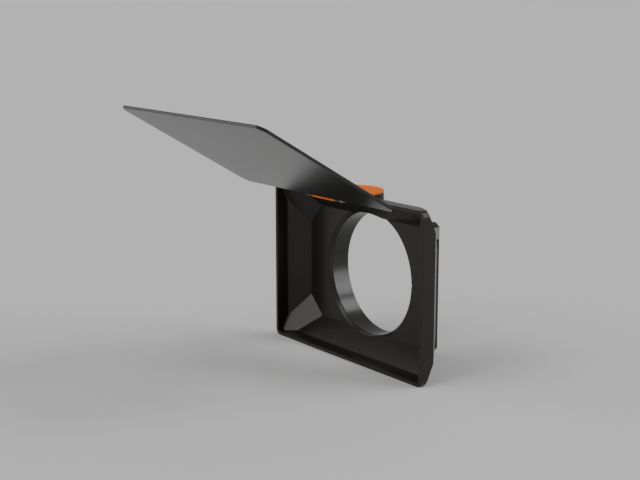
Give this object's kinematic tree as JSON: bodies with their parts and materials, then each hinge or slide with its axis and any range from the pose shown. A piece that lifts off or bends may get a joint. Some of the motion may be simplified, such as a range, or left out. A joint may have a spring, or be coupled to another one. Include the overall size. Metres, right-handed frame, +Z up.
{
  "type": "matte box",
  "caption": "Clamp-on matte box: a flared rectangular hood on a split lens collar, with a flat top flag on a tilting hinge and a round swivel disc.",
  "frame": {"origin": "on the lens axis, halfway along the bore of the collar", "axes": "+Y along the lens axis, from the hood's mouth back to the camera; +X across the mouth, to the right seen from the front with the lens behind it; +Z up, to the side with the flag"},
  "size_m": [0.1816, 0.1771, 0.1936],
  "materials": {
    "black_plastic": "satin black moulded plastic, fine grained",
    "orange_plastic": "satin orange plastic",
    "black_steel": "black oxide steel screws",
    "steel": "zinc plated steel",
    "nickel": "satin nickel plated magnet",
    "brass": "turned brass",
    "nylon": "natural nylon"
  },
  "bodies": {
    "body": {"hood": "black_plastic", "hood_inserts": "brass", "back_plate": "black_plastic", "hood_screws": "black_steel", "side_magnets": "nickel", "lens_collar": "black_plastic", "collar_screws": "black_steel", "clamp_washer": "steel", "clamp_nut": "steel", "flag_base": "black_plastic", "base_screws": "black_steel", "swivel_bolt": "steel", "swivel_shim": "nylon", "swivel_nut": "steel"},
    "swivel": {"swivel_disc": "orange_plastic", "hinge_washers": "nylon"},
    "top_flag": {"flag": "black_plastic", "flag_leaf": "black_plastic", "leaf_screws": "black_steel", "hinge_screw": "steel", "hinge_nut": "steel"},
    "knob": {"clamp_knob": "orange_plastic", "clamp_screw": "steel"}
  },
  "joints": [
    {"name": "flag_swivel", "type": "hinge", "parent": "body", "child": "swivel", "pos_m": [0, -0.027, 0.0658], "axis": [0, 0, 1], "range_deg": [-8, 8]},
    {"name": "flag_tilt", "type": "hinge", "parent": "swivel", "child": "top_flag", "pos_m": [0, -0.051, 0.0645], "axis": [1, 0, 0], "range_deg": [-90, 110]},
    {"name": "clamp_knob_turn", "type": "hinge", "parent": "body", "child": "knob", "pos_m": [0.0562, -0.001, 0.0138], "axis": [0, 0, 1], "range_deg": [0, 720]}
  ]
}
